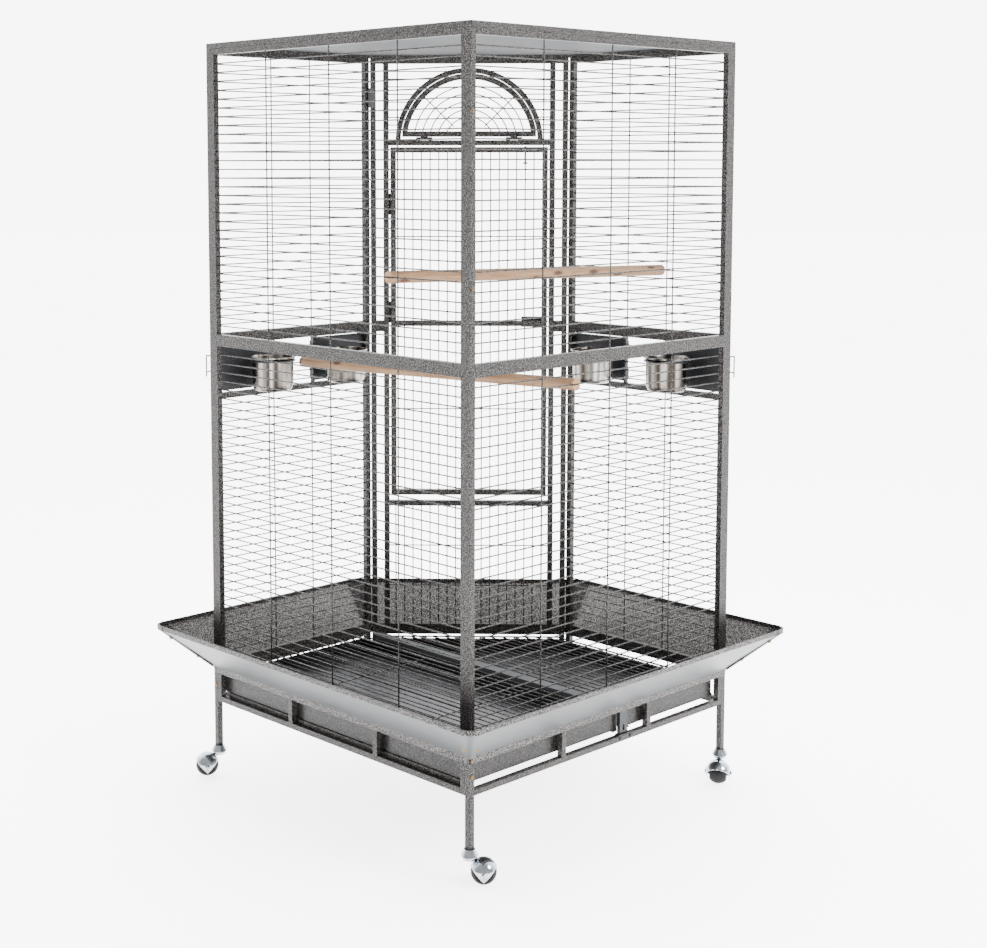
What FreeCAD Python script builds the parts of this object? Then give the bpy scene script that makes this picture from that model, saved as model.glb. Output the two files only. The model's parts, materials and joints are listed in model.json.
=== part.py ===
import FreeCAD, Part
import math
import os

# Two-storey corner bird cage on a caster stand, in millimetres.
# The door side faces -Y, the right-angled back corner points to +Y, +Z is up.
# The origin is on the floor, under the middle of the whole cage.
# Left and right are those of a person who stands at the door.

# ---------------------------------------------------------------- driving sizes
BACK_WALL = 800.0        # length of each back wall
SIDE_WALL = 457.0        # length of each side wall, square to its back wall
TUBE = 12.7              # square tube of all frames
WIRE = 2.8               # bar wire of the walls
WELD_STEP = 2.2          # crossing wires lie this far apart, sunk into each other by the weld
WHEEL = 50.0             # caster wheel diameter

# heights of the main joint lines above the floor
LEG_FOOT = 69.0
STAND_LOW = 171.3
STAND_TOP = 247.0
MID_JOINT = 978.0
UPPER_TOP = 1604.0
ROOF_TOP = 1616.0

# horizontal wires
LOWER_WIRES = 36
UPPER_WIRES = 31
FEEDER_RAIL_WIRE = 31    # this lower wire gives way to the rail under the feeders
SPANDREL_WIRES = 9
BACK_UPRIGHTS = 3        # upright wires across a back panel
BAY_LOW = 173.0          # the feeder bays end at these distances from the corner
BAY_HIGH = SIDE_WALL - BAY_LOW

# seed guard
GUARD_RUN = 95.0
GUARD_RIM = 343.0
GUARD_LIP = 9.0
GUARD_SHEET = 1.2
GUARD_CORNER_R = 25.0

# front wall: distances from its middle
POST_OUT = 230.7
POST_IN = 218.0
UPRIGHT_OUT = 200.7
UPRIGHT_IN = 188.0
DOOR_HALF = 184.0
DOOR_LOW = 574.0
DOOR_TOP = 1398.0
SILL_LOW = 547.3
ARCH_LOW = 1402.0
ARCH_HIGH = 1414.0
HOOP_CENTRE = 1410.0
HOOP_R = 172.0
LANDING_R = 158.5
LANDING_LOW = 1422.0

# feeder cups
CUP_RIM_R = 50.0
CUP_WALL_R = 45.8
CUP_FOOT = 860.5
CUP_TOP = 937.5
CUP_IN = 65.0            # centre of a cup inside the outer face of its wall
CUP_ALONG = 122.0        # centre of a cup from the corner
RING_Z = 928.5
RING_WIRE = 4.0
FEEDER_LOW = 859.0
HANDLE_LOW = 895.0        # wire handle of each feeder door
HANDLE_HIGH = 941.0

# floor
TRAY_LOW = 192.5
TRAY_TOP = 225.6
TRAY_SHEET = 1.2
GRATE_Z = 229.6
GRATE_PITCH = 19.0
GRATE_INSET = 2.2        # a grate is this much narrower than its tray at each end
TRAY_GAP = 3.5           # clear space between a tray or grate and the tubes beside it

# door hinges and bolts
HINGE_X = 186.0          # upright axis of the door hinges
HINGE_Y = -3.8
HINGE_R = 3.5
PIN_R = 1.5
HINGE_CENTRES = (1010.0, 1265.0)
LANDING_HINGE_X = 105.0
LANDING_HINGE_Z = 1418.0
BOLT_R = 2.5
BOLT_Y = -6.0
BOLT_Z = 987.5
TOP_BOLT_X = -132.0

# feeder doors
JAMB = 6.0               # square bar beside each feeder opening
FEEDER_HINGE = 169.5     # hinge axis from the corner, and outside the wall
FEEDER_HINGE_OUT = -3.2
PLATE_START = 2.6        # edge of a feeder plate from the corner
HANDLE_X = 4.6
HANDLE_OUT = 20.0
HANDLE_WIRE = 3.0

# perches
PERCH_D = 24.0
PERCH_REACH = 3.0        # wood beyond the wire that each end grips
SLOT = WIRE + 0.6
SLOT_DEEP = 8.0
# each perch: place along the near back wall, along the far side wall, and the wires that it sits on
PERCH_HIGH = (226.0, 190.0, 8, 7)
PERCH_LOW = (299.0, 259.0, 35, 34)

# casters
TRAIL = 27.0             # wheel centre from the swivel axis
HOOD_OUT = 29.0
HOOD_IN = 26.2
CUP_LOW = 56.5

ROOT2 = math.sqrt(2.0)
FRONT_WALL = (BACK_WALL - SIDE_WALL) * ROOT2
DEPTH = (BACK_WALL + SIDE_WALL) / ROOT2
GUARD_CLEAR = GUARD_SHEET + 0.2     # corner strips lie this far outside the sheets
RIM_REACH = GUARD_RUN + GUARD_CLEAR
RIM_BACK = RIM_REACH * ROOT2 - (GUARD_CORNER_R + GUARD_CLEAR) * (ROOT2 - 1.0)
BACK_Y = (DEPTH + RIM_REACH - RIM_BACK) / 2.0
FRONT_Y = BACK_Y - DEPTH
SIDE_X = BACK_WALL / ROOT2
SIDE_Y = BACK_Y - SIDE_X
HALF_FRONT = FRONT_WALL / 2.0
FRONT_LINE = BACK_WALL + SIDE_WALL - TUBE * ROOT2
BEAM_LOW = SIDE_WALL - 14.0
BEAM_HIGH = BEAM_LOW + 28.0
TRAY_BACK = (TUBE + TRAY_GAP, SIDE_WALL - TUBE - TRAY_GAP)
TRAY_FRONT = (BEAM_HIGH + 6.8, BACK_WALL - 29.8)
GUARD_TOP = GUARD_RIM - GUARD_LIP

UP = FreeCAD.Vector(0, 0, 1)
ORIGIN = FreeCAD.Vector(0, 0, 0)

# each wall starts at a corner and runs anticlockwise at an angle; its inside is on its left
WALLS = {
    "back_left": (FreeCAD.Vector(0, BACK_Y, 0), 225.0),
    "side_left": (FreeCAD.Vector(-SIDE_X, SIDE_Y, 0), 315.0),
    "front": (FreeCAD.Vector(-HALF_FRONT, FRONT_Y, 0), 0.0),
    "side_right": (FreeCAD.Vector(HALF_FRONT, FRONT_Y, 0), 45.0),
    "back_right": (FreeCAD.Vector(SIDE_X, SIDE_Y, 0), 135.0),
}
WALL_ORDER = ["back_left", "side_left", "front", "side_right", "back_right"]


# ---------------------------------------------------------------- small helpers
def vec(x, y, z):
    return FreeCAD.Vector(x, y, z)


def bar(x0, x1, y0, y1, z0, z1):
    return Part.makeBox(x1 - x0, y1 - y0, z1 - z0, vec(x0, y0, z0))


def rod(start, end, diameter):
    line = end - start
    return Part.makeCylinder(diameter / 2.0, line.Length, start, line)


def tube(outer_d, inner_d, start, end):
    return rod(start, end, outer_d).cut(rod(start, end, inner_d))


def fused(shapes):
    return shapes[0].multiFuse(shapes[1:])


def along_wall(shape, wall):
    """Carry a shape from wall coordinates (x along, y inwards, z up) to its wall."""
    corner, angle = WALLS[wall]
    moved = shape.copy()
    moved.rotate(ORIGIN, UP, angle)
    moved.translate(corner)
    return moved


def on_floor_plan(shape):
    """Carry a shape from floor coordinates (x along the back left wall, y along the
    back right wall, both from the back corner) to the cage."""
    moved = shape.copy()
    moved.rotate(ORIGIN, UP, -135.0)
    moved.translate(vec(0, BACK_Y, 0))
    return moved


def twin(shape):
    """The right-hand twin of a left-hand shape."""
    return shape.mirror(ORIGIN, vec(1, 0, 0))


def flipped(shape):
    """The same shape seen from the other end of a side wall."""
    return shape.mirror(vec(SIDE_WALL / 2.0, 0, 0), vec(1, 0, 0))


def save(node, shape):
    shape.exportStep("parts/" + node + ".step")


def wall_direction(wall):
    angle = math.radians(WALLS[wall][1])
    return vec(math.cos(angle), math.sin(angle), 0)


def outline(inset):
    """Plan corners of the cage with all walls moved inwards, from the back corner on."""
    corners = []
    for index, wall in enumerate(WALL_ORDER):
        before = wall_direction(WALL_ORDER[index - 1])
        after = wall_direction(wall)
        turn = math.radians(45.0 if wall in ("front", "side_right") else 90.0)
        inward = after - before
        inward.normalize()
        corners.append(WALLS[wall][0] + inward * (inset / math.cos(turn / 2.0)))
    return corners


def plan_slab(inset, z0, z1):
    points = [corner + vec(0, 0, z0) for corner in outline(inset)]
    face = Part.Face(Part.makePolygon(points + [points[0]]))
    return face.extrude(vec(0, 0, z1 - z0))


# ---------------------------------------------------------------- wall panels
def tube_frame(start, end, low, high):
    """A welded frame of square tube, between two places along a wall."""
    return [
        bar(start, start + TUBE, 0, TUBE, low, high),
        bar(end - TUBE, end, 0, TUBE, low, high),
        bar(start + TUBE, end - TUBE, 0, TUBE, low, low + TUBE),
        bar(start + TUBE, end - TUBE, 0, TUBE, high - TUBE, high),
    ]


def level_wires(start, end, heights):
    middle = TUBE / 2.0
    return [rod(vec(start, middle, z), vec(end, middle, z), WIRE) for z in heights]


def upright_wires(places, low, high):
    outside = TUBE / 2.0 - WELD_STEP
    return [rod(vec(x, outside, low), vec(x, outside, high), WIRE) for x in places]


def wire_heights(low, high, count):
    pitch = (high - low) / (count + 1)
    return [low + pitch * (k + 1) for k in range(count)]


def wired_panel(start, end, low, high, count, uprights):
    heights = wire_heights(low + TUBE, high - TUBE, count)
    bite = 2.0
    pieces = tube_frame(start, end, low, high)
    pieces += level_wires(start + TUBE - bite, end - TUBE + bite, heights)
    pieces += upright_wires(uprights, low + TUBE - bite, high - TUBE + bite)
    return fused(pieces)


def back_panel(start, end, low, high, count):
    step = BACK_WALL / (BACK_UPRIGHTS + 1)
    uprights = [step * (k + 1) for k in range(BACK_UPRIGHTS)]
    return wired_panel(start, end, low, high, count, uprights)


def feeder_rail_low():
    return FEEDER_LOW - TUBE


def lower_side_panel():
    """Side wall of the lower storey, up to the rail under the feeders."""
    heights = wire_heights(STAND_TOP + TUBE, MID_JOINT - TUBE, LOWER_WIRES)
    bite = 2.0
    pieces = tube_frame(0, SIDE_WALL, STAND_TOP, FEEDER_LOW)
    pieces += level_wires(TUBE - bite, SIDE_WALL - TUBE + bite, heights[:FEEDER_RAIL_WIRE - 1])
    pieces += upright_wires([BAY_LOW, BAY_HIGH], STAND_TOP + TUBE - bite, feeder_rail_low() + bite)
    return fused(pieces)


def feeder_frame():
    """Top of a lower side wall: two feeder openings with a wired bay between them."""
    heights = wire_heights(STAND_TOP + TUBE, MID_JOINT - TUBE, LOWER_WIRES)
    middle = (TUBE - JAMB) / 2.0
    low_jamb = BAY_LOW - JAMB
    pieces = [
        bar(0, TUBE, 0, TUBE, FEEDER_LOW, MID_JOINT),
        bar(SIDE_WALL - TUBE, SIDE_WALL, 0, TUBE, FEEDER_LOW, MID_JOINT),
        bar(TUBE, SIDE_WALL - TUBE, 0, TUBE, MID_JOINT - TUBE, MID_JOINT),
        bar(low_jamb, BAY_LOW, 0, JAMB + middle, FEEDER_LOW, MID_JOINT - TUBE),
        bar(BAY_HIGH, BAY_HIGH + JAMB, 0, JAMB + middle, FEEDER_LOW, MID_JOINT - TUBE),
    ]
    pieces += level_wires(BAY_LOW - 2.0, BAY_HIGH + 2.0, heights[FEEDER_RAIL_WIRE:])
    return fused(pieces)


def make_panels():
    corner = BACK_WALL - TUBE
    storeys = {"upper": (MID_JOINT, UPPER_TOP, UPPER_WIRES), "lower": (STAND_TOP, MID_JOINT, LOWER_WIRES)}
    for storey, (low, high, count) in storeys.items():
        left = back_panel(0, corner, low, high, count)
        save(storey + "_back_left", along_wall(left, "back_left"))
        right = back_panel(TUBE, corner, low, high, count)
        save(storey + "_back_right", along_wall(right, "back_right"))
    side = wired_panel(0, SIDE_WALL, MID_JOINT, UPPER_TOP, UPPER_WIRES, [BAY_LOW, BAY_HIGH])
    sides = {"upper_side": side, "lower_side": lower_side_panel(), "feeder_frame": feeder_frame()}
    for name, shape in sides.items():
        placed = along_wall(shape, "side_left")
        save(name + "_left", placed)
        save(name + "_right", twin(placed))


# ---------------------------------------------------------------- roof
def make_roof():
    frame = plan_slab(0, UPPER_TOP, ROOF_TOP).cut(plan_slab(TUBE, UPPER_TOP, ROOF_TOP))
    save("roof_frame", frame)
    save("roof_sheet", plan_slab(TUBE, ROOF_TOP - 6.0, ROOF_TOP - 4.8))


# ---------------------------------------------------------------- front wall
def front(shape):
    moved = shape.copy()
    moved.translate(vec(0, FRONT_Y, 0))
    return moved


def front_jamb():
    """Outer post and door upright, tied together at their ends and in the middle."""
    low = STAND_TOP
    pieces = [
        bar(POST_IN, POST_OUT, 0, TUBE, low, UPPER_TOP - TUBE),
        bar(UPRIGHT_IN, UPRIGHT_OUT, 0, TUBE, low + TUBE, UPPER_TOP - TUBE),
        bar(UPRIGHT_OUT, POST_IN, 0, TUBE, MID_JOINT - TUBE, MID_JOINT - 0.3),
        bar(UPRIGHT_OUT, POST_IN, 0, TUBE, MID_JOINT, MID_JOINT + TUBE),
        bar(UPRIGHT_IN, POST_IN, 0, TUBE, low, low + TUBE),
    ]
    return fused(pieces)


def half_ring(outer_r, inner_r, y0, y1, centre_z):
    """Upper half of a ring in the plane of the front wall."""
    outer = Part.makeCylinder(outer_r, y1 - y0, vec(0, y0, centre_z), vec(0, 1, 0))
    inner = Part.makeCylinder(inner_r, y1 - y0, vec(0, y0, centre_z), vec(0, 1, 0))
    above = bar(-outer_r - 1, outer_r + 1, y0, y1, centre_z, centre_z + outer_r + 1)
    return outer.cut(inner).common(above)


def spandrel_wires():
    """Short level wires between the hoop and the door uprights."""
    inside_hoop = Part.makeCylinder(HOOP_R, TUBE, vec(0, 0, HOOP_CENTRE), vec(0, 1, 0))
    wires = []
    for z in wire_heights(ARCH_HIGH, UPPER_TOP - TUBE, SPANDREL_WIRES):
        level = rod(vec(-UPRIGHT_IN, TUBE / 2.0, z), vec(UPRIGHT_IN, TUBE / 2.0, z), WIRE)
        wires += level.cut(inside_hoop).Solids
    return wires


def front_grid():
    """Fixed panel under the door: bottom tube, sill tube and upright wires."""
    count = 18
    pitch = 20.4
    pieces = [
        bar(-UPRIGHT_IN, UPRIGHT_IN, 0, TUBE, STAND_TOP, STAND_TOP + TUBE),
        bar(-UPRIGHT_IN, UPRIGHT_IN, 0, TUBE, SILL_LOW, SILL_LOW + TUBE),
    ]
    for k in range(count):
        x = pitch * (k - (count - 1) / 2.0)
        pieces.append(rod(vec(x, TUBE / 2.0, STAND_TOP + 10.0), vec(x, TUBE / 2.0, SILL_LOW + 2.0), WIRE))
    for z in (STAND_TOP + 106.0, STAND_TOP + 203.0):
        level_y = TUBE / 2.0 - WELD_STEP
        pieces.append(rod(vec(-UPRIGHT_IN, level_y, z), vec(UPRIGHT_IN, level_y, z), WIRE))
    return fused(pieces)


def main_door():
    pieces = [
        bar(-DOOR_HALF, -DOOR_HALF + TUBE, 0, TUBE, DOOR_LOW, DOOR_TOP),
        bar(DOOR_HALF - TUBE, DOOR_HALF, 0, TUBE, DOOR_LOW, DOOR_TOP),
        bar(-DOOR_HALF + TUBE, DOOR_HALF - TUBE, 0, TUBE, DOOR_LOW, DOOR_LOW + TUBE),
        bar(-DOOR_HALF + TUBE, DOOR_HALF - TUBE, 0, TUBE, DOOR_TOP - TUBE, DOOR_TOP),
        bar(-DOOR_HALF + TUBE, DOOR_HALF - TUBE, 0, TUBE, MID_JOINT, MID_JOINT + TUBE),
    ]
    count = 16
    pitch = 20.25
    middle = TUBE / 2.0
    for k in range(count):
        x = pitch * (k - (count - 1) / 2.0)
        pieces.append(rod(vec(x, middle, DOOR_LOW + 10.0), vec(x, middle, DOOR_TOP - 10.0), WIRE))
    for z in (780.0, 1189.0):
        level_y = middle - WELD_STEP
        reach = DOOR_HALF - 10.0
        pieces.append(rod(vec(-reach, level_y, z), vec(reach, level_y, z), WIRE))
    for z in HINGE_CENTRES:
        foot = vec(HINGE_X, HINGE_Y, z - 12)
        head = vec(HINGE_X, HINGE_Y, z + 12)
        barrel = tube(2 * HINGE_R, 2 * (PIN_R + 0.08), foot, head)
        leaf = bar(HINGE_X - 14.0, HINGE_X - 2.0, -1.5, 0, z - 12, z + 12)
        pieces += [barrel, leaf]
    pieces += [bar(-182.0, -124.0, -1.5, 0, 975.0, 1000.0)]
    pieces += [bolt_guide(-172.0), bolt_guide(-136.0)]
    pieces += [top_guide()]
    return fused(pieces)


def bolt_guide(x):
    """A bored block on the door that the handle bolt slides in."""
    block = bar(x - 4.0, x + 4.0, -10.5, -1.5, BOLT_Z - 4.5, BOLT_Z + 4.5)
    return block.cut(rod(vec(x - 5, BOLT_Y, BOLT_Z), vec(x + 5, BOLT_Y, BOLT_Z), 2 * BOLT_R + 0.16))


def top_guide():
    """A bored block near the top of the door for the small upright bolt."""
    low = DOOR_TOP - 11.0
    block = bar(TOP_BOLT_X - 6, TOP_BOLT_X + 6, -10.5, 0, low, DOOR_TOP - 2.0)
    hole = rod(vec(TOP_BOLT_X, BOLT_Y, low - 1), vec(TOP_BOLT_X, BOLT_Y, DOOR_TOP), 2 * BOLT_R + 0.16)
    return block.cut(hole)


def make_bolts():
    level = rod(vec(-187.0, BOLT_Y, BOLT_Z), vec(-120.0, BOLT_Y, BOLT_Z), 2 * BOLT_R)
    knob = rod(vec(-154.0, BOLT_Y, BOLT_Z), vec(-154.0, -24.0, BOLT_Z), 4.0)
    head = Part.makeSphere(5.0, vec(-154.0, -26.0, BOLT_Z))
    save("door_bolt", front(fused([level, knob, head])))
    upright = rod(vec(TOP_BOLT_X, BOLT_Y, 1362.0), vec(TOP_BOLT_X, BOLT_Y, 1400.0), 2 * BOLT_R)
    pull = bar(TOP_BOLT_X - 5, TOP_BOLT_X + 5, -10.0, -2.0, 1358.0, 1362.5)
    save("top_bolt", front(fused([upright, pull])))


def landing_door():
    """Half-round door that folds down to a landing."""
    foot = LANDING_LOW
    centre = HOOP_CENTRE
    middle = TUBE / 2.0
    rim = half_ring(LANDING_R, LANDING_R - TUBE, 0, TUBE, centre)
    rim = rim.common(bar(-200, 200, 0, TUBE, foot + TUBE, 1600))
    half = math.sqrt(LANDING_R ** 2 - (foot - centre) ** 2) - 2.0
    pieces = [rim, bar(-half, half, 0, TUBE, foot, foot + TUBE)]
    for radius in (57.0, 75.0, 93.0, 111.0, 129.0):
        arc = half_ring(radius + WIRE / 2, radius - WIRE / 2, middle - WIRE / 2, middle + WIRE / 2, centre)
        pieces.append(arc.common(bar(-200, 200, 0, TUBE, foot + 10.0, 1600)))
    for side in (-1, 1):
        inner = 36.0
        outer = (LANDING_R - 4.0) / ROOT2
        near = vec(side * inner, middle - WELD_STEP, centre + inner)
        far = vec(side * outer, middle - WELD_STEP, centre + outer)
        pieces.append(rod(near, far, WIRE))
        x = side * LANDING_HINGE_X
        start = vec(x - 9, HINGE_Y, LANDING_HINGE_Z)
        end = vec(x + 9, HINGE_Y, LANDING_HINGE_Z)
        barrel = tube(2 * HINGE_R, 2 * (PIN_R + 0.08), start, end)
        leaf = bar(x - 9, x + 9, -1.5, 0, LANDING_HINGE_Z + 1.5, LANDING_HINGE_Z + 14.0)
        pieces += [barrel, leaf]
    return fused(pieces)


def bolt_keepers():
    """Bored blocks on the upright and on the arch bar that the door's bolts shoot into."""
    bore = 2 * BOLT_R + 0.16
    level = bar(-199.0, -188.3, -10.5, 0, BOLT_Z - 4.5, BOLT_Z + 4.5)
    level = level.cut(rod(vec(-200.0, BOLT_Y, BOLT_Z), vec(-187.0, BOLT_Y, BOLT_Z), bore))
    high = ARCH_LOW + 10.0
    upright = bar(TOP_BOLT_X - 6, TOP_BOLT_X + 6, -10.5, 0, ARCH_LOW, high)
    bore_foot = vec(TOP_BOLT_X, BOLT_Y, ARCH_LOW - 1)
    bore_head = vec(TOP_BOLT_X, BOLT_Y, high + 1)
    upright = upright.cut(rod(bore_foot, bore_head, bore))
    return [level, upright]


def door_hardware():
    """Fixed halves of the hinges, two barrels on a pin with a leaf on the tube, and the keepers."""
    hinges = []
    for z in HINGE_CENTRES:
        pieces = [rod(vec(HINGE_X, HINGE_Y, z - 25), vec(HINGE_X, HINGE_Y, z + 25), 2 * PIN_R)]
        for low, high in ((z - 25, z - 12.3), (z + 12.3, z + 25)):
            pieces.append(rod(vec(HINGE_X, HINGE_Y, low), vec(HINGE_X, HINGE_Y, high), 2 * HINGE_R))
            pieces.append(bar(HINGE_X + 2.0, HINGE_X + 14.0, -1.5, 0, low, high))
        hinges.append(fused(pieces))
    for side in (-1, 1):
        x = side * LANDING_HINGE_X
        z = LANDING_HINGE_Z
        pieces = [rod(vec(x - 19, HINGE_Y, z), vec(x + 19, HINGE_Y, z), 2 * PIN_R)]
        for low, high in ((x - 19, x - 9.3), (x + 9.3, x + 19)):
            pieces.append(rod(vec(low, HINGE_Y, z), vec(high, HINGE_Y, z), 2 * HINGE_R))
            pieces.append(bar(low, high, -1.5, 0, z - 14.0, z - 1.5))
        hinges.append(fused(pieces))
    return Part.makeCompound(hinges + bolt_keepers())


def front_frame():
    left = front_jamb()
    top = bar(-POST_OUT, POST_OUT, 0, TUBE, UPPER_TOP - TUBE, UPPER_TOP)
    arch = bar(-UPRIGHT_IN, UPRIGHT_IN, 0, TUBE, ARCH_LOW, ARCH_HIGH)
    return Part.makeCompound([left, twin(left), top, arch])


def make_front():
    save("front_frame", front(front_frame()))
    hoop = half_ring(HOOP_R, HOOP_R - TUBE + 0.7, 0, TUBE, HOOP_CENTRE)
    hoop = hoop.common(bar(-200, 200, 0, TUBE, ARCH_HIGH, 1600))
    save("arch_hoop", front(hoop))
    save("front_grid", front(front_grid()))
    save("spandrel_wires", front(Part.makeCompound(spandrel_wires())))
    save("main_door", front(main_door()))
    save("landing_door", front(landing_door()))
    save("door_hardware", front(door_hardware()))
    make_bolts()


# ---------------------------------------------------------------- feeders


def feeder_door():
    """Plate that shuts a feeder opening, with the wire ring that carries its cup."""
    plate_low = FEEDER_LOW + 3.0
    plate_high = MID_JOINT - TUBE - 3.0
    face = -2.2
    pieces = [bar(PLATE_START, FEEDER_HINGE - 1.0, face, face + 1.5, plate_low, plate_high)]
    for low in (plate_low + 8.0, plate_high - 32.0):
        foot = vec(FEEDER_HINGE, FEEDER_HINGE_OUT, low)
        head = vec(FEEDER_HINGE, FEEDER_HINGE_OUT, low + 24)
        pieces.append(tube(5.0, 2.2, foot, head))
    ring_r = CUP_WALL_R + 0.7 + RING_WIRE / 2.0
    ring = Part.makeTorus(ring_r, RING_WIRE / 2.0, vec(CUP_ALONG, CUP_IN, RING_Z), UP)
    arm_x = 25.0
    arm_end = CUP_IN - math.sqrt(ring_r ** 2 - arm_x ** 2)
    pieces.append(ring)
    for x in (CUP_ALONG - arm_x, CUP_ALONG + arm_x):
        pieces.append(rod(vec(x, face + 0.5, RING_Z), vec(x, arm_end, RING_Z), RING_WIRE - 0.4))
    outer_y = -HANDLE_OUT
    grip_low = HANDLE_LOW + 9.0
    top_root = vec(HANDLE_X, face + 0.5, HANDLE_HIGH)
    top_bend = vec(HANDLE_X, outer_y, HANDLE_HIGH)
    free_end = vec(HANDLE_X, outer_y, HANDLE_LOW)
    low_root = vec(HANDLE_X, face + 0.5, grip_low + 5.0)
    low_bend = vec(HANDLE_X, outer_y, grip_low)
    pieces.append(rod(top_root, top_bend, HANDLE_WIRE))
    pieces.append(rod(top_bend, free_end, HANDLE_WIRE))
    pieces.append(rod(low_root, low_bend, HANDLE_WIRE))
    pieces.append(Part.makeSphere(HANDLE_WIRE / 2.0, vec(HANDLE_X, outer_y, HANDLE_HIGH)))
    pieces.append(Part.makeSphere(HANDLE_WIRE / 2.0, vec(HANDLE_X, outer_y, HANDLE_LOW)))
    return fused(pieces)


def feeder_cup():
    wall = 0.9
    profile = [
        (0, CUP_FOOT), (CUP_WALL_R - 5.0, CUP_FOOT), (CUP_WALL_R, CUP_FOOT + 14.0),
        (CUP_WALL_R, CUP_TOP - 6.5), (CUP_RIM_R, CUP_TOP - 6.5), (CUP_RIM_R, CUP_TOP - 2.0),
        (CUP_RIM_R - 1.6, CUP_TOP), (CUP_WALL_R - wall, CUP_TOP), (CUP_WALL_R - wall, CUP_FOOT + 14.4),
        (CUP_WALL_R - 5.4, CUP_FOOT + wall), (0, CUP_FOOT + wall),
    ]
    points = [vec(r, 0, z) for r, z in profile]
    face = Part.Face(Part.makePolygon(points + [points[0]]))
    cup = face.revolve(ORIGIN, UP, 360)
    cup.translate(vec(CUP_ALONG, CUP_IN, 0))
    return cup


def make_feeders():
    door = feeder_door()
    cup = feeder_cup()
    for end, at_end in (("rear", lambda shape: shape), ("fore", flipped)):
        left_door = along_wall(at_end(door), "side_left")
        left_cup = along_wall(at_end(cup), "side_left")
        save("feeder_door_left_" + end, left_door)
        save("feeder_door_right_" + end, twin(left_door))
        save("feeder_cup_left_" + end, left_cup)
        save("feeder_cup_right_" + end, twin(left_cup))


# ---------------------------------------------------------------- perches


def perch(near, far, near_z, far_z):
    """Round wooden rod with a slot in each end that grips a wall wire; it lies along +Y."""
    wire_in = TUBE / 2.0
    first = vec(near, wire_in, near_z)
    last = vec(far, BACK_WALL - wire_in, far_z)
    along = last - first
    along.normalize()
    body = rod(first - along * PERCH_REACH, last + along * PERCH_REACH, PERCH_D)
    for x, z, low, high in (
        (near, near_z, 0.0, wire_in - PERCH_REACH + SLOT_DEEP),
        (far, far_z, BACK_WALL - wire_in + PERCH_REACH - SLOT_DEEP, BACK_WALL),
    ):
        body = body.cut(bar(x - PERCH_D, x + PERCH_D, low, high, z - SLOT / 2.0, z + SLOT / 2.0))
    return body


def make_perches():
    upper = wire_heights(MID_JOINT + TUBE, UPPER_TOP - TUBE, UPPER_WIRES)
    lower = wire_heights(STAND_TOP + TUBE, MID_JOINT - TUBE, LOWER_WIRES)
    near, far, near_wire, far_wire = PERCH_LOW
    low = on_floor_plan(perch(near, far, lower[near_wire - 1], lower[far_wire - 1]))
    save("perch_low", low)
    near, far, near_wire, far_wire = PERCH_HIGH
    high = on_floor_plan(perch(near, far, upper[near_wire - 1], upper[far_wire - 1]))
    save("perch_high", twin(high))


# ---------------------------------------------------------------- floor: trays, grates, divider


def floor_outline(v0, v1, gap, far):
    """Plan of a tray or grate: square at the back, cut off by the front wall if it reaches it."""
    u0 = TUBE + gap
    line = FRONT_LINE - gap
    u_near = min(far, line - v0)
    u_far = min(far, line - v1)
    return [(v0, u0), (v1, u0), (v1, u_far), (v0, u_near)]


def plan_prism(points, z0, z1):
    corners = [vec(x, y, z0) for x, y in points]
    face = Part.Face(Part.makePolygon(corners + [corners[0]]))
    return face.extrude(vec(0, 0, z1 - z0))


def tray(v0, v1, far):
    outer = plan_prism(floor_outline(v0, v1, TRAY_GAP, far), TRAY_LOW, TRAY_TOP)
    inner_gap = TRAY_GAP + TRAY_SHEET * ROOT2
    inner_points = floor_outline(v0 + TRAY_SHEET, v1 - TRAY_SHEET, inner_gap, far - TRAY_SHEET)
    inner = plan_prism(inner_points, TRAY_LOW + TRAY_SHEET, TRAY_TOP + 1.0)
    return outer.cut(inner)


def grate(v0, v1, far):
    """Wire grate over a tray: wires along the slide, three cross wires and a border."""
    corners = floor_outline(v0, v1, TRAY_GAP, far)
    border = [vec(x, y, GRATE_Z) for x, y in corners]
    pieces = []
    for index, point in enumerate(border):
        after = border[(index + 1) % 4]
        pieces.append(rod(point, after, 4.0))
        pieces.append(Part.makeSphere(2.0, point))
    count = int(round((v1 - v0) / GRATE_PITCH))
    pitch = (v1 - v0) / count
    u0 = corners[0][1]
    slope = (corners[2][1] - corners[3][1]) / (v1 - v0)
    for k in range(1, count):
        v = v0 + pitch * k
        u1 = corners[3][1] + slope * (v - v0)
        pieces.append(rod(vec(v, u0, GRATE_Z), vec(v, u1, GRATE_Z), WIRE))
    for part in (0.3, 0.7):
        u = u0 + part * (corners[2][1] - u0)
        pieces.append(rod(vec(v0, u, GRATE_Z - WELD_STEP), vec(v1, u, GRATE_Z - WELD_STEP), WIRE))
    return fused(pieces)


def divider_beam():
    """Hat-shaped sheet beam between the two trays; its brims carry the tray edges."""
    low = TRAY_LOW - 2.5
    top = STAND_TOP - 7.0
    start = TUBE
    end = FRONT_LINE - BEAM_HIGH
    outer = bar(BEAM_LOW, BEAM_HIGH, start, end, low, top)
    inner = bar(BEAM_LOW + 2, BEAM_HIGH - 2, start - 1, end + 1, low - 1, top - 2)
    hat = outer.cut(inner)
    brims = [
        bar(BEAM_LOW - 12.0, BEAM_LOW, start, end - 14.0, low, low + 2.0),
        bar(BEAM_HIGH, BEAM_HIGH + 16.0, start, end - 18.0, low, low + 2.0),
    ]
    return fused([hat] + brims)


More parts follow.
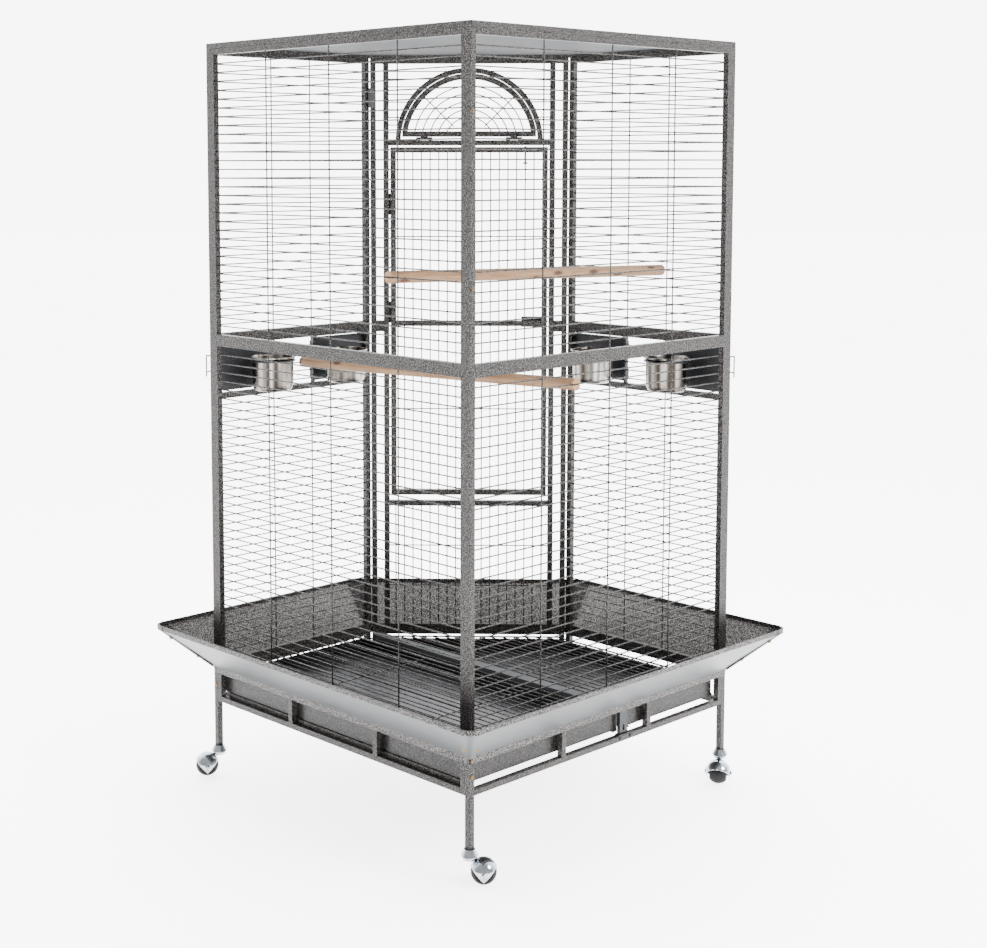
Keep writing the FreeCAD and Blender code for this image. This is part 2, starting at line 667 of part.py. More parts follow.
def divider_bracket():
    """Plate with a hole that holds the beam on the back left stand frame."""
    middle = (BEAM_LOW + BEAM_HIGH) / 2.0
    low = STAND_LOW + TUBE
    plate = bar(middle - 12.0, middle + 12.0, 5.0, TUBE, low, STAND_TOP - TUBE)
    plate = plate.cut(bar(middle - 3.0, middle + 3.0, 4.0, TUBE + 1, low + 8.0, low + 20.0))
    foot = bar(middle - 20.0, middle + 20.0, 0, TUBE, low, low + 1.5)
    return fused([plate, foot])


def make_floor():
    far = BACK_WALL - 1.0
    save("tray_back", on_floor_plan(tray(TRAY_BACK[0], TRAY_BACK[1], far)))
    save("tray_front", on_floor_plan(tray(TRAY_FRONT[0], TRAY_FRONT[1], far)))
    save("grate_back", on_floor_plan(grate(TRAY_BACK[0] + GRATE_INSET, TRAY_BACK[1] - GRATE_INSET, far - 3.0)))
    save("grate_front", on_floor_plan(grate(TRAY_FRONT[0] + GRATE_INSET, TRAY_FRONT[1] - GRATE_INSET, far - 3.0)))
    save("divider_beam", on_floor_plan(divider_beam()))
    save("divider_bracket", on_floor_plan(divider_bracket()))


# ---------------------------------------------------------------- seed guard
TURNS = {"back_left": 90.0, "side_left": 90.0, "front": 45.0, "side_right": 45.0, "back_right": 90.0}


def guard_sheet(index):
    """Sloped sheet along one wall, with a flange against the stand and an upright rim lip."""
    wall = WALL_ORDER[index]
    after = WALL_ORDER[(index + 1) % 5]
    start, end = [outline(0.0)[i % 5] for i in (index, index + 1)]
    rim_start, rim_end = [outline(-GUARD_RUN)[i % 5] for i in (index, index + 1)]
    along = wall_direction(wall)
    outward = vec(along.y, -along.x, 0)
    cut_start = GUARD_CORNER_R * math.tan(math.radians(TURNS[wall] / 2.0))
    cut_end = GUARD_CORNER_R * math.tan(math.radians(TURNS[after] / 2.0))
    rim_a = rim_start + along * cut_start
    rim_b = rim_end - along * cut_end
    foot = outward * GUARD_SHEET
    a = start + along * 1.5
    b = end - along * 1.5
    low = vec(0, 0, STAND_TOP)
    high = vec(0, 0, GUARD_TOP)
    slope_points = [a + low, b + low, rim_b + high, rim_a + high]
    slope = Part.Face(Part.makePolygon(slope_points + [slope_points[0]]))
    slope = slope.extrude(vec(0, 0, GUARD_SHEET * ROOT2))
    flange_points = [a, b, b + foot, a + foot]
    flange = Part.Face(Part.makePolygon([p + vec(0, 0, STAND_TOP - 11.0) for p in flange_points + [a]]))
    flange = flange.extrude(vec(0, 0, 12.0))
    back = outward * -GUARD_SHEET
    lip_points = [rim_a, rim_b, rim_b + back, rim_a + back]
    lip = Part.Face(Part.makePolygon([p + high for p in lip_points + [rim_a]]))
    lip = lip.extrude(vec(0, 0, GUARD_LIP))
    return fused([slope, flange, lip])


def corner_wire(index, distance, radius, thick, side, z):
    """Plan outline of a bent strip around one corner, at a distance outside the walls."""
    wall = WALL_ORDER[index]
    before = wall_direction(WALL_ORDER[index - 1])
    after = wall_direction(wall)
    half_turn = math.radians(TURNS[wall] / 2.0)
    tangent = radius * math.tan(half_turn)
    inward = after - before
    inward.normalize()
    tip = outline(-distance)[index]
    centre = tip + inward * (radius / math.cos(half_turn))
    height = vec(0, 0, z)
    lines = []
    for level, reverse in ((radius, False), (radius - thick, True)):
        scale = level / radius
        bend_in = centre + (tip - before * tangent - centre) * scale
        bend_out = centre + (tip + after * tangent - centre) * scale
        middle = centre - inward * level
        start = bend_in - before * side
        end = bend_out + after * side
        lines.append([start + height, bend_in + height, middle + height, bend_out + height, end + height])
    outer, inner = lines
    edges = [
        Part.makeLine(outer[0], outer[1]),
        Part.Arc(outer[1], outer[2], outer[3]).toShape(),
        Part.makeLine(outer[3], outer[4]),
        Part.makeLine(outer[4], inner[4]),
        Part.makeLine(inner[4], inner[3]),
        Part.Arc(inner[3], inner[2], inner[1]).toShape(),
        Part.makeLine(inner[1], inner[0]),
        Part.makeLine(inner[0], outer[0]),
    ]
    return Part.Wire(edges)


def guard_corner(index):
    """Folded strip outside the seam of two guard sheets, rounded at the rim."""
    low = corner_wire(index, 3.2 + GUARD_CLEAR, 4.0, GUARD_SHEET, 10.0, STAND_TOP)
    top = corner_wire(index, RIM_REACH, GUARD_CORNER_R + GUARD_CLEAR, GUARD_SHEET, 10.0, GUARD_TOP)
    strip = Part.makeLoft([low, top], True, True)
    lip = Part.Face(top).extrude(vec(0, 0, GUARD_LIP))
    return fused([strip, lip])


def make_guard():
    for index, wall in enumerate(WALL_ORDER):
        save("guard_" + wall, guard_sheet(index))
    save("guard_corners", Part.makeCompound([guard_corner(index) for index in range(5)]))


# ---------------------------------------------------------------- stand
def stand_frame(start, end, leg_ends, mullions):
    """Two rails between end tubes; an end tube that is a leg runs down to its caster."""
    rail_low = STAND_LOW
    left_foot = LEG_FOOT if leg_ends[0] else rail_low
    right_foot = LEG_FOOT if leg_ends[1] else rail_low
    pieces = [
        bar(start, start + TUBE, 0, TUBE, left_foot, STAND_TOP),
        bar(end - TUBE, end, 0, TUBE, right_foot, STAND_TOP),
        bar(start + TUBE, end - TUBE, 0, TUBE, rail_low, rail_low + TUBE),
        bar(start + TUBE, end - TUBE, 0, TUBE, STAND_TOP - TUBE, STAND_TOP),
    ]
    for x in mullions:
        pieces.append(bar(x - TUBE / 2, x + TUBE / 2, 0, TUBE, rail_low + TUBE, STAND_TOP - TUBE))
    return pieces


def make_stand():
    thirds = [BACK_WALL / 3.0, BACK_WALL * 2.0 / 3.0]
    ledge_top = TRAY_LOW - 0.3
    back_left = stand_frame(0, BACK_WALL - TUBE, (True, False), thirds)
    save("stand_back_left", along_wall(fused(back_left), "back_left"))
    back_right = stand_frame(TUBE, BACK_WALL - TUBE, (False, False), thirds)
    back_right.append(bar(3 * TUBE, BACK_WALL - 3 * TUBE, TUBE, TUBE + 14, ledge_top - 2, ledge_top))
    back_right.append(bar(3 * TUBE, BACK_WALL - 3 * TUBE, TUBE, TUBE + 2, STAND_LOW, ledge_top))
    save("stand_back_right", along_wall(fused(back_right), "back_right"))
    side = stand_frame(0, SIDE_WALL, (True, True), [])
    ledged = side + [
        bar(2 * TUBE, SIDE_WALL - 3 * TUBE, TUBE, TUBE + 28, ledge_top - 2, ledge_top),
        bar(2 * TUBE, SIDE_WALL - 3 * TUBE, TUBE, TUBE + 2, STAND_LOW, ledge_top),
    ]
    save("stand_side_left", along_wall(fused(ledged), "side_left"))
    save("stand_side_right", twin(along_wall(fused(side), "side_left")))
    front_stand = stand_frame(HALF_FRONT - POST_OUT, HALF_FRONT + POST_OUT, (False, False), [])
    save("stand_front", along_wall(fused(front_stand), "front"))


# ---------------------------------------------------------------- casters
# leg of each caster, as wall and place along it, and the way its wheel trails
CASTERS = {
    "back": ("back_left", TUBE / 2.0, 180.0),
    "left": ("side_left", TUBE / 2.0, 75.0),
    "front_left": ("side_left", SIDE_WALL - TUBE / 2.0, 200.0),
    "front_right": ("side_right", TUBE / 2.0, 330.0),
    "right": ("side_right", SIDE_WALL - TUBE / 2.0, 10.0),
}


def leg_axis(wall, place):
    corner, angle = WALLS[wall]
    along = wall_direction(wall)
    inward = vec(-along.y, along.x, 0)
    return corner + along * place + inward * (TUBE / 2.0)


def caster_cup():
    """Fixed bell under a leg, open below, with the socket of the swivel stem."""
    bell = Part.makeCone(17.0, 11.0, LEG_FOOT - CUP_LOW, vec(0, 0, CUP_LOW))
    hollow = Part.makeCylinder(4.08, 10.0, vec(0, 0, CUP_LOW - 1))
    return bell.cut(hollow)


def caster_hood():
    """Swivel stem, half-round hood and the axle that it carries, trailing along +X."""
    centre = vec(TRAIL, 0, WHEEL / 2.0)
    shell = Part.makeSphere(HOOD_OUT, centre)
    keep = bar(-60, 90, -60, 60, WHEEL / 2.0 + 1.0, 90)
    stem = fused([
        Part.makeCylinder(15.0, 14.0, vec(0, 0, 42.0)),
        Part.makeCylinder(4.0, 20.0, vec(0, 0, 44.0)),
    ])
    hood = shell.common(keep).fuse(stem).cut(Part.makeSphere(HOOD_IN, centre))
    pieces = [hood, rod(centre + vec(0, -28, 0), centre + vec(0, 28, 0), 6.0)]
    for side in (-1, 1):
        pieces.append(rod(centre + vec(0, side * 19.0, 0), centre + vec(0, side * 28.5, 0), 14.0))
    return fused(pieces)


def caster_wheel():
    """Ball-shaped wheel with flat cheeks and an axle bore."""
    centre = vec(TRAIL, 0, WHEEL / 2.0)
    ball = Part.makeSphere(WHEEL / 2.0, centre)
    slab = bar(-60, 90, -18.0, 18.0, -1, 90)
    return ball.common(slab).cut(rod(centre + vec(0, -30, 0), centre + vec(0, 30, 0), 6.16))


def make_casters():
    cups = []
    for name, (wall, place, trail) in CASTERS.items():
        axis = leg_axis(wall, place)
        for node, shape in (("caster_hood_", caster_hood()), ("caster_wheel_", caster_wheel())):
            shape.rotate(ORIGIN, UP, trail)
            shape.translate(axis)
            save(node + name, shape)
        cup = caster_cup()
        cup.translate(axis)
        cups.append(cup)
    save("caster_cups", Part.makeCompound(cups))


# ---------------------------------------------------------------- screws
def screw(x, y, z, direction, diameter=8.0):
    """Pan head of a screw, standing on a face."""
    return Part.makeCone(diameter / 2.0, diameter / 2.0 - 1.2, 2.6, vec(x, y, z), direction)


def make_screws():
    heads = []
    outwards = vec(0, -1, 0)
    inwards = vec(0, 1, 0)
    levels = (STAND_TOP + TUBE / 2.0, MID_JOINT - TUBE / 2.0, UPPER_TOP - TUBE / 2.0)
    places = {
        "back_left": (BACK_WALL * 0.27, BACK_WALL * 0.73),
        "back_right": (BACK_WALL * 0.27, BACK_WALL * 0.73),
        "side_left": (SIDE_WALL * 0.08, SIDE_WALL * 0.92),
        "side_right": (SIDE_WALL * 0.08, SIDE_WALL * 0.92),
    }
    for wall, spots in places.items():
        for x in spots:
            for z in levels:
                heads.append(along_wall(screw(x, TUBE, z, inwards), wall))
    middle = (BEAM_LOW + BEAM_HIGH) / 2.0
    for x in (middle - 16.0, middle + 16.0):
        heads.append(along_wall(screw(x, 0, STAND_LOW + TUBE / 2.0, outwards), "back_left"))
    save("screws", Part.makeCompound(heads))


make_panels()
make_roof()
make_front()
make_feeders()
make_perches()
make_floor()
make_guard()
make_stand()
make_casters()
make_screws()
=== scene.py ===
import json
import math

import bmesh
import bpy
from mathutils import Matrix, Vector


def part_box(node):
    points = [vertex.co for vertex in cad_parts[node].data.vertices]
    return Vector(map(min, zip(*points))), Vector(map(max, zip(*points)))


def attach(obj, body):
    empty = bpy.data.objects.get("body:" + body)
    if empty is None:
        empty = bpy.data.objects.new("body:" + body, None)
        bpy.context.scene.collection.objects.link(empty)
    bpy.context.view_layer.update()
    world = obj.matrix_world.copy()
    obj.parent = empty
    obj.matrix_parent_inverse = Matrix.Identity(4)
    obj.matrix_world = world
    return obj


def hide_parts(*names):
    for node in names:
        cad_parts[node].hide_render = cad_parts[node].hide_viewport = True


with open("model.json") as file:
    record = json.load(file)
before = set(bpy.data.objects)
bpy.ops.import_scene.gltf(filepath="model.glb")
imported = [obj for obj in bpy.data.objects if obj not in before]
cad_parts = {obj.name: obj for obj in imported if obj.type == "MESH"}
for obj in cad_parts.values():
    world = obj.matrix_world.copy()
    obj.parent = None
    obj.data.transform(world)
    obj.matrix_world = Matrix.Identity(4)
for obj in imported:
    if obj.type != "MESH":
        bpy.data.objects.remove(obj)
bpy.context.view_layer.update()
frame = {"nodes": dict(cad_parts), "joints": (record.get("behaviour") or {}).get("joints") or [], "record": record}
record = frame["record"]
nodes_by_name = frame["nodes"]

# ---------------------------------------------------------------- sizes read from the frame, in metres
roof_low, roof_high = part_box("roof_frame")
BACK_Y = roof_high.y
FRONT_Y = roof_low.y
SIDE_X = roof_high.x
SIDE_Y = BACK_Y - SIDE_X
HALF_FRONT = SIDE_X - (SIDE_Y - FRONT_Y)
BACK_WALL = SIDE_X * math.sqrt(2.0)
SIDE_WALL = (SIDE_X - HALF_FRONT) * math.sqrt(2.0)
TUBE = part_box("front_frame")[1].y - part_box("front_frame")[0].y
ROOF_JOINT = roof_low.z
MID_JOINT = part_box("upper_back_left")[0].z
STAND_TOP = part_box("lower_back_left")[0].z
STAND_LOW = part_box("stand_front")[0].z
RIM_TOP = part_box("guard_front")[1].z
GUARD_RUN = FRONT_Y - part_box("guard_front")[0].y

# each wall starts at a corner and runs anticlockwise at an angle; its inside is on its left
WALLS = {
    "back_left": (Vector((0, BACK_Y, 0)), 225.0, BACK_WALL),
    "side_left": (Vector((-SIDE_X, SIDE_Y, 0)), 315.0, SIDE_WALL),
    "front": (Vector((-HALF_FRONT, FRONT_Y, 0)), 0.0, 2 * HALF_FRONT),
    "side_right": (Vector((HALF_FRONT, FRONT_Y, 0)), 45.0, SIDE_WALL),
    "back_right": (Vector((SIDE_X, SIDE_Y, 0)), 135.0, BACK_WALL),
}
WALL_ORDER = list(WALLS)
TURNS = {"back_left": 90.0, "side_left": 90.0, "front": 45.0, "side_right": 45.0, "back_right": 90.0}


def wall_matrix(wall):
    """From wall coordinates (x along, y inwards, z up) to the cage."""
    corner, angle, length = WALLS[wall]
    return Matrix.Translation(corner) @ Matrix.Rotation(math.radians(angle), 4, "Z")


def wall_direction(wall):
    angle = math.radians(WALLS[wall][1])
    return Vector((math.cos(angle), math.sin(angle), 0))


# ---------------------------------------------------------------- materials
def new_material(name, roughness, metallic):
    material = bpy.data.materials.new(name)
    material.use_nodes = True
    shader = material.node_tree.nodes["Principled BSDF"]
    shader.inputs["Roughness"].default_value = roughness
    shader.inputs["Metallic"].default_value = metallic
    shader.inputs["Specular IOR Level"].default_value = 0.22
    return material, material.node_tree, shader


def object_point(tree):
    return tree.nodes.new("ShaderNodeTexCoord").outputs["Object"]


def stretched_point(tree, scale):
    mapping = tree.nodes.new("ShaderNodeMapping")
    mapping.inputs["Scale"].default_value = scale
    tree.links.new(object_point(tree), mapping.inputs["Vector"])
    return mapping.outputs["Vector"]


def noise(tree, point, scale, detail=2.0, roughness=0.5):
    node = tree.nodes.new("ShaderNodeTexNoise")
    node.inputs["Scale"].default_value = scale
    node.inputs["Detail"].default_value = detail
    node.inputs["Roughness"].default_value = roughness
    tree.links.new(point, node.inputs["Vector"])
    return node.outputs["Fac"]


def ramp(tree, value, stops):
    node = tree.nodes.new("ShaderNodeValToRGB")
    elements = node.color_ramp.elements
    while len(elements) < len(stops):
        elements.new(0.5)
    for element, (position, colour) in zip(elements, stops):
        element.position = position
        element.color = (*colour, 1.0)
    tree.links.new(value, node.inputs["Fac"])
    return node.outputs["Color"]


def mix(tree, factor, first, second):
    node = tree.nodes.new("ShaderNodeMix")
    node.data_type = "RGBA"
    tree.links.new(factor, node.inputs["Factor"])
    tree.links.new(first, node.inputs["A"])
    tree.links.new(second, node.inputs["B"])
    return node.outputs["Result"]


def bump(tree, shader, height, strength, distance):
    node = tree.nodes.new("ShaderNodeBump")
    node.inputs["Strength"].default_value = strength
    node.inputs["Distance"].default_value = distance
    tree.links.new(height, node.inputs["Height"])
    tree.links.new(node.outputs["Normal"], shader.inputs["Normal"])


def scaled_value(tree, value, low, high):
    node = tree.nodes.new("ShaderNodeMapRange")
    node.inputs["To Min"].default_value = low
    node.inputs["To Max"].default_value = high
    tree.links.new(value, node.inputs["Value"])
    return node.outputs["Result"]


HAMMER_DARK = (0.0016, 0.0013, 0.0011)
HAMMER_MID = (0.0100, 0.0088, 0.0080)
HAMMER_LIGHT = (0.066, 0.062, 0.059)


def hammertone_colour(tree, gain=1.0):
    """Silver-black mottle of a hammertone powder coat: light islands about 2 mm across. A gain above 1 makes a
    lighter copy as painted light, below 1 a darker copy as painted shade.
    """
    point = object_point(tree)
    islands = noise(tree, point, 470.0, 0.0, 0.5)
    places = (0.42, 0.51, 0.62)
    tones = (HAMMER_DARK, HAMMER_MID, HAMMER_LIGHT)
    stops = [(place, tuple(c * gain for c in tone)) for place, tone in zip(places, tones)]
    return ramp(tree, islands, stops), islands


def hammertone(name):
    material, tree, shader = new_material(name, 0.42, 0.40)
    colour, islands = hammertone_colour(tree)
    tree.links.new(colour, shader.inputs["Base Color"])
    tree.links.new(scaled_value(tree, islands, 0.62, 0.30), shader.inputs["Roughness"])
    bump(tree, shader, islands, 0.15, 0.0003)
    return material


def facing_up(tree, lowest):
    """1 where the upright part of a surface's normal is more than a limit, 0 elsewhere."""
    geometry = tree.nodes.new("ShaderNodeNewGeometry")
    split = tree.nodes.new("ShaderNodeSeparateXYZ")
    tree.links.new(geometry.outputs["Normal"], split.inputs["Vector"])
    up = tree.nodes.new("ShaderNodeMath")
    up.operation = "GREATER_THAN"
    up.inputs[1].default_value = lowest
    tree.links.new(split.outputs["Z"], up.inputs[0])
    return up.outputs["Value"]


def tray_coat(name):
    """Hammertone walls, darkened to half as painted shade for the guard's shadow in the recess, round a plain dark
    satin floor.
    """
    material, tree, shader = new_material(name, 0.35, 0.35)
    # painted shade: the wall hammertone at half brightness stands in for the shadow the guard casts on the
    # recessed tray
    colour, islands = hammertone_colour(tree, 0.5)
    spangle = noise(tree, object_point(tree), 45.0, 3.0, 0.6)
    floor = ramp(tree, spangle, [(0.3, (0.020, 0.021, 0.023)), (0.7, (0.045, 0.047, 0.050))])
    tree.links.new(mix(tree, facing_up(tree, 0.5), colour, floor), shader.inputs["Base Color"])
    bump(tree, shader, islands, 0.10, 0.0003)
    return material


def guard_coat(name):
    """Hammertone on the upper side and the lip, lightened as painted light for the glossy sheet's reflection,
    plain satin grey on the underside.
    """
    material, tree, shader = new_material(name, 0.40, 0.30)
    # painted light: the hammertone at 1.8 times brightness stands in for the reflection on the guard's glossy
    # inner face
    colour, islands = hammertone_colour(tree, 1.8)
    clouds = noise(tree, object_point(tree), 5.0, 3.0)
    grey = ramp(tree, clouds, [(0.3, (0.040, 0.043, 0.045)), (0.7, (0.058, 0.061, 0.064))])
    tree.links.new(mix(tree, facing_up(tree, -0.3), grey, colour), shader.inputs["Base Color"])
    bump(tree, shader, islands, 0.25, 0.0005)
    return material


def satin_grey(name):
    material, tree, shader = new_material(name, 0.65, 0.0)
    shader.inputs["Specular IOR Level"].default_value = 0.10
    clouds = noise(tree, object_point(tree), 6.0, 4.0)
    peel = noise(tree, object_point(tree), 500.0, 2.0)
    grey = ramp(tree, clouds, [(0.3, (0.036, 0.038, 0.040)), (0.7, (0.052, 0.054, 0.056))])
    tree.links.new(grey, shader.inputs["Base Color"])
    bump(tree, shader, peel, 0.15, 0.0003)
    return material


def stainless(name):
    """Spun stainless: fine rings, with upright light and dark bars as painted reflection of a polished cup."""
    material, tree, shader = new_material(name, 0.26, 1.0)
    rings = noise(tree, stretched_point(tree, (8.0, 8.0, 900.0)), 1.0, 3.0)
    # painted reflection: upright light and dark bars in the base colour stand in for what the polished cup
    # reflects
    painted_reflection_bars = noise(tree, stretched_point(tree, (60.0, 60.0, 2.0)), 1.0, 1.0)
    tones = [(0.36, (0.022, 0.018, 0.015)), (0.50, (0.110, 0.098, 0.086)), (0.62, (0.300, 0.285, 0.270))]
    tree.links.new(ramp(tree, painted_reflection_bars, tones), shader.inputs["Base Color"])
    tree.links.new(scaled_value(tree, rings, 0.20, 0.34), shader.inputs["Roughness"])
    bump(tree, shader, rings, 0.10, 0.0002)
    return material


def chrome_plate(name):
    material, tree, shader = new_material(name, 0.08, 1.0)
    haze = noise(tree, object_point(tree), 60.0, 3.0)
    silver = ramp(tree, haze, [(0.3, (0.24, 0.26, 0.28)), (0.7, (0.40, 0.42, 0.44))])
    tree.links.new(silver, shader.inputs["Base Color"])
    tree.links.new(scaled_value(tree, haze, 0.05, 0.16), shader.inputs["Roughness"])
    return material


def black_rubber(name):
    material, tree, shader = new_material(name, 0.55, 0.0)
    shader.inputs["Specular IOR Level"].default_value = 0.08
    grime = noise(tree, object_point(tree), 120.0, 4.0)
    black = ramp(tree, grime, [(0.35, (0.004, 0.004, 0.005)), (0.75, (0.014, 0.014, 0.015))])
    tree.links.new(black, shader.inputs["Base Color"])
    tree.links.new(scaled_value(tree, grime, 0.40, 0.65), shader.inputs["Roughness"])
    bump(tree, shader, grime, 0.08, 0.0003)
    return material


def black_coat(name):
    material, tree, shader = new_material(name, 0.40, 0.2)
    peel = noise(tree, object_point(tree), 420.0, 2.0)
    black = ramp(tree, peel, [(0.35, (0.007, 0.008, 0.009)), (0.70, (0.024, 0.025, 0.027))])
    tree.links.new(black, shader.inputs["Base Color"])
    bump(tree, shader, peel, 0.25, 0.0004)
    return material


def zinc_yellow(name):
    material, tree, shader = new_material(name, 0.30, 1.0)
    sheen = noise(tree, object_point(tree), 300.0, 2.0)
    gold = ramp(tree, sheen, [(0.3, (0.10, 0.050, 0.015)), (0.7, (0.17, 0.105, 0.040))])
    tree.links.new(gold, shader.inputs["Base Color"])
    return material


def pale_wood(name, direction):
    """Turned pine with its grain along one level direction, and a few small knots."""
    material, tree, shader = new_material(name, 0.62, 0.0)
    turn = tree.nodes.new("ShaderNodeMapping")
    turn.inputs["Rotation"].default_value = (0, 0, -direction)
    tree.links.new(object_point(tree), turn.inputs["Vector"])
    stretch = tree.nodes.new("ShaderNodeMapping")
    stretch.inputs["Scale"].default_value = (6.0, 160.0, 160.0)
    tree.links.new(turn.outputs["Vector"], stretch.inputs["Vector"])
    grain = noise(tree, stretch.outputs["Vector"], 1.0, 5.0, 0.65)
    tones = [(0.30, (0.120, 0.058, 0.025)), (0.48, (0.190, 0.108, 0.055)), (0.70, (0.235, 0.150, 0.086))]
    wood = ramp(tree, grain, tones)
    knot_point = tree.nodes.new("ShaderNodeMapping")
    knot_point.inputs["Scale"].default_value = (11.0, 30.0, 30.0)
    tree.links.new(turn.outputs["Vector"], knot_point.inputs["Vector"])
    cells = tree.nodes.new("ShaderNodeTexVoronoi")
    cells.inputs["Scale"].default_value = 1.0
    tree.links.new(knot_point.outputs["Vector"], cells.inputs["Vector"])
    knots = ramp(tree, cells.outputs["Distance"], [(0.10, (1, 1, 1)), (0.20, (0, 0, 0))])
    dark = tree.nodes.new("ShaderNodeRGB")
    dark.outputs[0].default_value = (0.050, 0.022, 0.010, 1)
    tree.links.new(mix(tree, knots, wood, dark.outputs[0]), shader.inputs["Base Color"])
    bump(tree, shader, grain, 0.30, 0.0006)
    return material


def floor_paint(name):
    material, tree, shader = new_material(name, 0.55, 0.0)
    clouds = noise(tree, object_point(tree), 1.2, 3.0)
    paint_colour = ramp(tree, clouds, [(0.2, (0.88, 0.88, 0.88)), (0.8, (0.91, 0.91, 0.91))])
    tree.links.new(paint_colour, shader.inputs["Base Color"])
    shader.inputs["Emission Color"].default_value = (1, 1, 1, 1)
    shader.inputs["Emission Strength"].default_value = 4.2
    return material


MATERIALS = {
    "hammertone": hammertone("hammertone_coat"),
    "sheet_grey": satin_grey("satin_grey"),
    "stainless": stainless("spun_stainless"),
    "chrome_plate": chrome_plate("chrome_plate"),
    "black_rubber": black_rubber("black_rubber"),
    "black_steel": black_coat("black_coat"),
    "zinc_yellow": zinc_yellow("zinc_yellow"),
    "timber": pale_wood("pale_wood_a", math.radians(45.0)),
}
GUARD_COAT = guard_coat("guard_coat")
TRAY_COAT = tray_coat("tray_coat")
WOOD_ACROSS = pale_wood("pale_wood_b", math.radians(135.0))


def paint(piece, material):
    piece.data.materials.clear()
    piece.data.materials.append(material)


SOFT_EDGED = ["roof_frame", "front_frame", "arch_hoop", "divider_beam"]
SOFT_EDGED += ["stand_" + wall for wall in WALLS]


def soften_edges():
    """Square tube has rounded corners, about a tenth of its width."""
    for node in SOFT_EDGED:
        piece = nodes_by_name[node]
        weld = piece.modifiers.new("weld", "WELD")
        weld.merge_threshold = 0.00002
        bevel = piece.modifiers.new("edge", "BEVEL")
        bevel.width = TUBE * 0.10
        bevel.segments = 2
        bevel.limit_method = "ANGLE"
        bevel.angle_limit = math.radians(50.0)
        bevel.harden_normals = True


def paint_frame():
    for entry in record["subparts"]:
        node = entry["node"]
        paint(nodes_by_name[node], MATERIALS[entry["material_slot"]])
        if node.startswith("guard_"):
            paint(nodes_by_name[node], GUARD_COAT)
    paint(nodes_by_name["perch_low"], WOOD_ACROSS)
    paint(nodes_by_name["tray_back"], TRAY_COAT)
    paint(nodes_by_name["tray_front"], TRAY_COAT)
    paint(nodes_by_name["screws"], MATERIALS["black_steel"])


# ---------------------------------------------------------------- building helpers
def add_piece(name, mesh, slot, body, material=None):
    piece = bpy.data.objects.new(name, mesh)
    bpy.context.scene.collection.objects.link(piece)
    paint(piece, material or MATERIALS[slot])
    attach(piece, body)
    return piece


def mesh_from(bm, name, smooth=True):
    mesh = bpy.data.meshes.new(name)
    bmesh.ops.recalc_face_normals(bm, faces=bm.faces)
    bm.to_mesh(mesh)
    bm.free()
    if smooth:
        mesh.shade_smooth()
    return mesh


def lathe(bm, profile, matrix, steps=24):
    """Adds a turned shape: profile is a list of (radius, height) from one end to the other."""
    rings = []
    for radius, height in profile:
        ring = []
        for k in range(steps):
            angle = 2 * math.pi * k / steps
            place = Vector((radius * math.cos(angle), radius * math.sin(angle), height))
            ring.append(bm.verts.new(matrix @ place))
        rings.append(ring)
    for low, high in zip(rings, rings[1:]):
        for k in range(steps):
            after = (k + 1) % steps
            bm.faces.new((low[k], low[after], high[after], high[k]))
    bm.faces.new(rings[0][::-1])
    bm.faces.new(rings[-1])


def facing(point, direction):
    """Matrix that puts a shape drawn along +Z at a point, along a direction."""
    return Matrix.Translation(point) @ direction.to_track_quat("Z", "Y").to_matrix().to_4x4()


def pan_head(bm, point, direction, radius=0.0042, height=0.0026):
    """Domed screw head with a washer flange and a recess."""
    profile = [
        (radius * 1.35, 0.0), (radius * 1.35, height * 0.25), (radius, height * 0.30),
        (radius * 0.96, height * 0.62), (radius * 0.72, height * 0.92), (radius * 0.42, height),
        (radius * 0.34, height * 0.60), (radius * 0.05, height * 0.55),
    ]
    lathe(bm, profile, facing(point, direction), 16)


def round_bar(name, points, radius, slot, body, cyclic=False):
    """A bent wire or bead along a list of points."""
    curve = bpy.data.curves.new(name, "CURVE")
    curve.dimensions = "3D"
    curve.bevel_depth = radius
    curve.bevel_resolution = 3
    spline = curve.splines.new("POLY")
    spline.points.add(len(points) - 1)
    for place, point in zip(spline.points, points):
        place.co = (*point, 1.0)
    spline.use_cyclic_u = cyclic
    piece = bpy.data.objects.new(name, curve)
    bpy.context.scene.collection.objects.link(piece)
    curve.materials.append(MATERIALS[slot])
    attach(piece, body)
    return piece


def soft_block(name, low, high, matrix, slot, body, edge=0.0008):
    """A block between two corners in wall coordinates, with rounded edges."""
    bm = bmesh.new()
    made = bmesh.ops.create_cube(bm, size=1.0)
    size = high - low
    middle = (low + high) / 2
    bmesh.ops.scale(bm, verts=made["verts"], vec=size)
    bmesh.ops.translate(bm, verts=made["verts"], vec=middle)
    bmesh.ops.bevel(bm, geom=bm.edges[:], offset=edge, segments=3, affect="EDGES", profile=0.5)
    bmesh.ops.transform(bm, verts=bm.verts[:], matrix=matrix)
    return add_piece(name, mesh_from(bm, name), slot, body)


# ---------------------------------------------------------------- seed guard detail
def outline_corner(index, distance):
    """Corner of the plan with all walls moved outwards by a distance."""
    wall = WALL_ORDER[index % 5]
    before = wall_direction(WALL_ORDER[(index - 1) % 5])
    after = wall_direction(wall)
    inward = (after - before).normalized()
    half_turn = math.radians(TURNS[wall] / 2.0)
    return WALLS[wall][0] - inward * (distance / math.cos(half_turn)), before, after, inward, half_turn


def rounded_outline(distance, radius, z, steps=8):
    points = []
    for index in range(5):
        tip, before, after, inward, half_turn = outline_corner(index, distance)
        centre = tip + inward * (radius / math.cos(half_turn))
        start = tip - before * radius * math.tan(half_turn) - centre
        for k in range(steps + 1):
            turn = Matrix.Rotation(2 * half_turn * k / steps, 3, "Z")
            points.append(centre + turn @ start + Vector((0, 0, z)))
    return points


GUARD_CORNER_R = 0.025
GUARD_LIP = 0.009
BEAD_R = 0.0014


